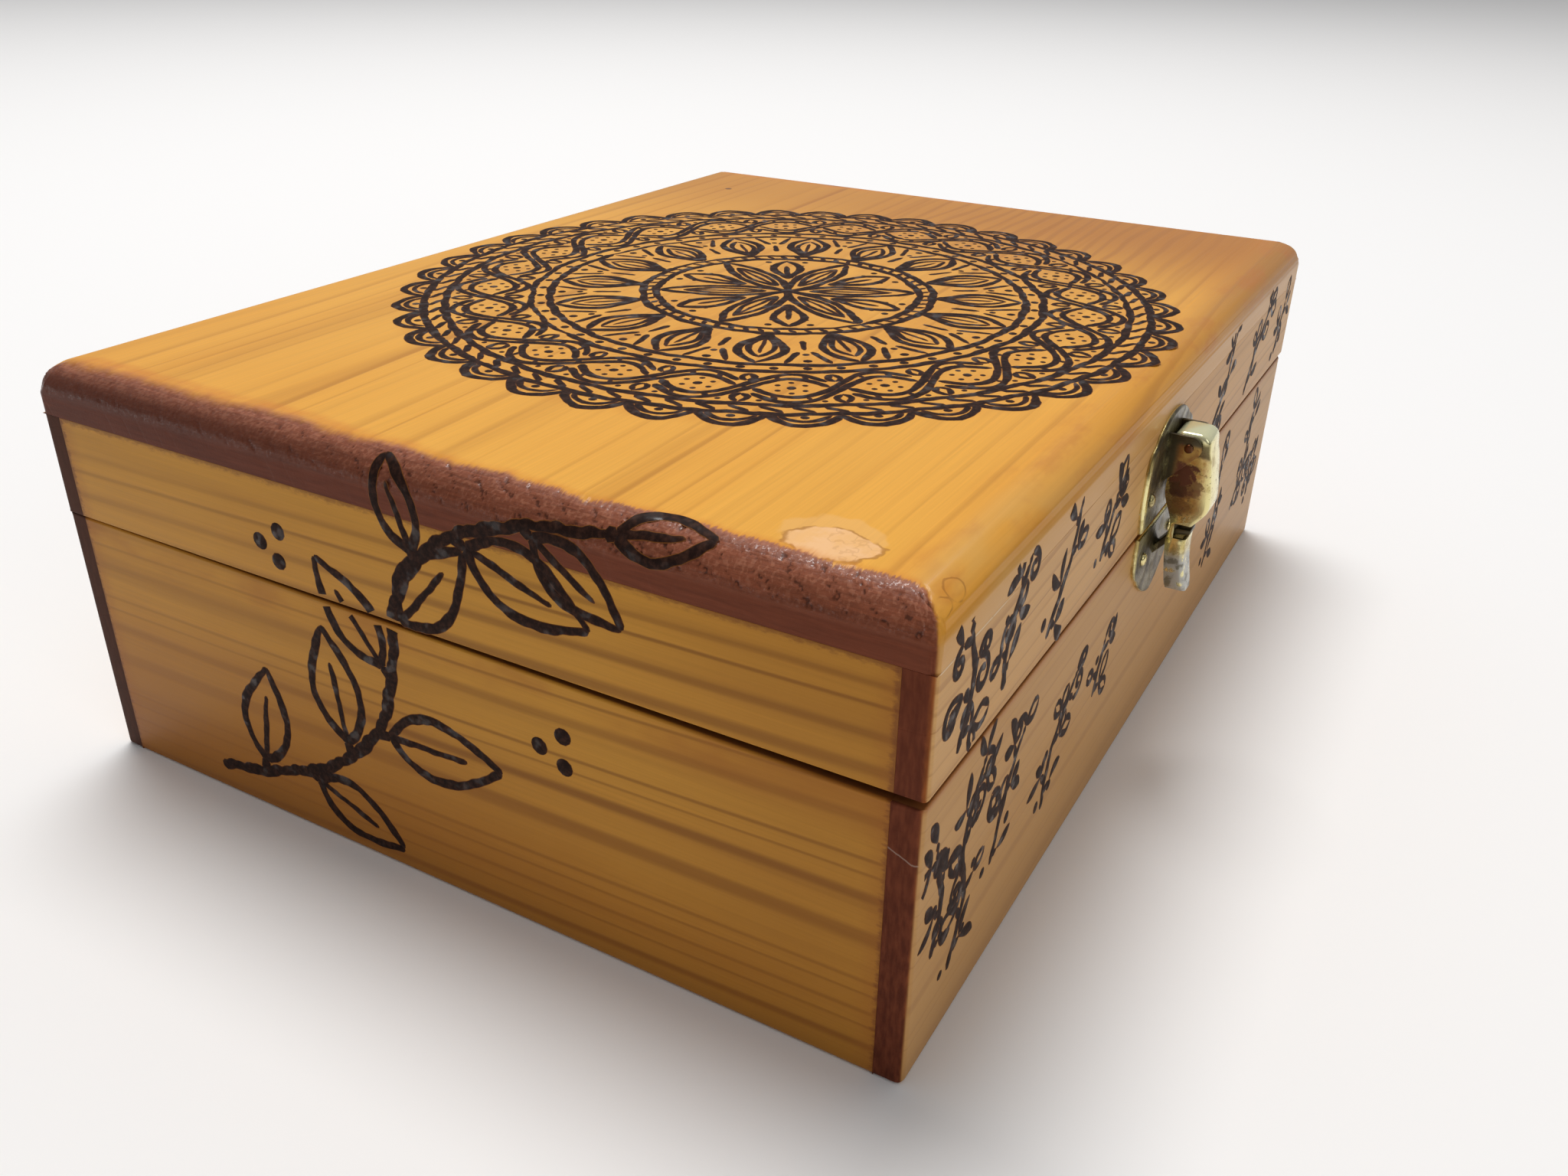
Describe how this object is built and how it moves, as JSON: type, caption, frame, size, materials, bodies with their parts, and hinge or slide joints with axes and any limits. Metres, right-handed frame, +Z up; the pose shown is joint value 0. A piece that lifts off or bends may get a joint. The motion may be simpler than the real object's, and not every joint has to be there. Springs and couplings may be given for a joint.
{
  "type": "hinged wooden keepsake box",
  "caption": "Shallow hinged box of thin varnished softwood boards with burnt-line ornament, butt hinges at the back and a stamped brass lever catch at the front.",
  "frame": {"origin": "centre of the base's underside, which is flush with the bottom panel", "axes": "+X along the front from the viewer's left to the right, +Y from the front (catch) to the back (hinges), +Z up"},
  "size_m": [0.24, 0.1988, 0.085],
  "materials": {
    "top_wood": "varnished, glossy",
    "front_wood": "varnished, satin",
    "end_wood": "varnished, satin",
    "panel_wood": "bare, planed",
    "burnt_line": "burnt and varnished over",
    "brass_plate": "brass plated, polished",
    "lever_brass": "brass plated, worn",
    "brass_nail": "brass plated, polished",
    "steel_pin": "bright, slightly rusted"
  },
  "bodies": {
    "base": {"base_front_board": "front_wood", "base_back_board": "front_wood", "base_left_end_board": "end_wood", "base_right_end_board": "end_wood", "base_bottom_panel": "panel_wood", "hinge_left_base_leaf": "brass_plate", "hinge_left_pin": "steel_pin", "hinge_left_base_nail_1": "brass_nail", "hinge_left_base_nail_2": "brass_nail", "hinge_right_base_leaf": "brass_plate", "hinge_right_pin": "steel_pin", "hinge_right_base_nail_1": "brass_nail", "hinge_right_base_nail_2": "brass_nail", "catch_base_plate": "brass_plate", "catch_base_nail_1": "brass_nail", "catch_base_nail_2": "brass_nail"},
    "lid": {"lid_front_board": "front_wood", "lid_back_board": "front_wood", "lid_left_end_board": "end_wood", "lid_right_end_board": "end_wood", "lid_top_board": "top_wood", "hinge_left_lid_leaf": "brass_plate", "hinge_left_lid_nail_1": "brass_nail", "hinge_left_lid_nail_2": "brass_nail", "hinge_right_lid_leaf": "brass_plate", "hinge_right_lid_nail_1": "brass_nail", "hinge_right_lid_nail_2": "brass_nail", "catch_lid_plate": "brass_plate", "catch_pivot_pin": "steel_pin", "catch_lid_nail_1": "brass_nail", "catch_lid_nail_2": "brass_nail"},
    "catch_lever": {"catch_lever": "lever_brass"}
  },
  "joints": [
    {"name": "lid_hinge", "type": "hinge", "parent": "base", "child": "lid", "pos_m": [0, 0.0943, 0.054], "axis": [-1, 0, 0], "range_deg": [0, 180]},
    {"name": "catch_lever_pivot", "type": "hinge", "parent": "lid", "child": "catch_lever", "pos_m": [-0.005, -0.097, 0.0704], "axis": [-1, 0, 0], "range_deg": [0, 150]}
  ]
}
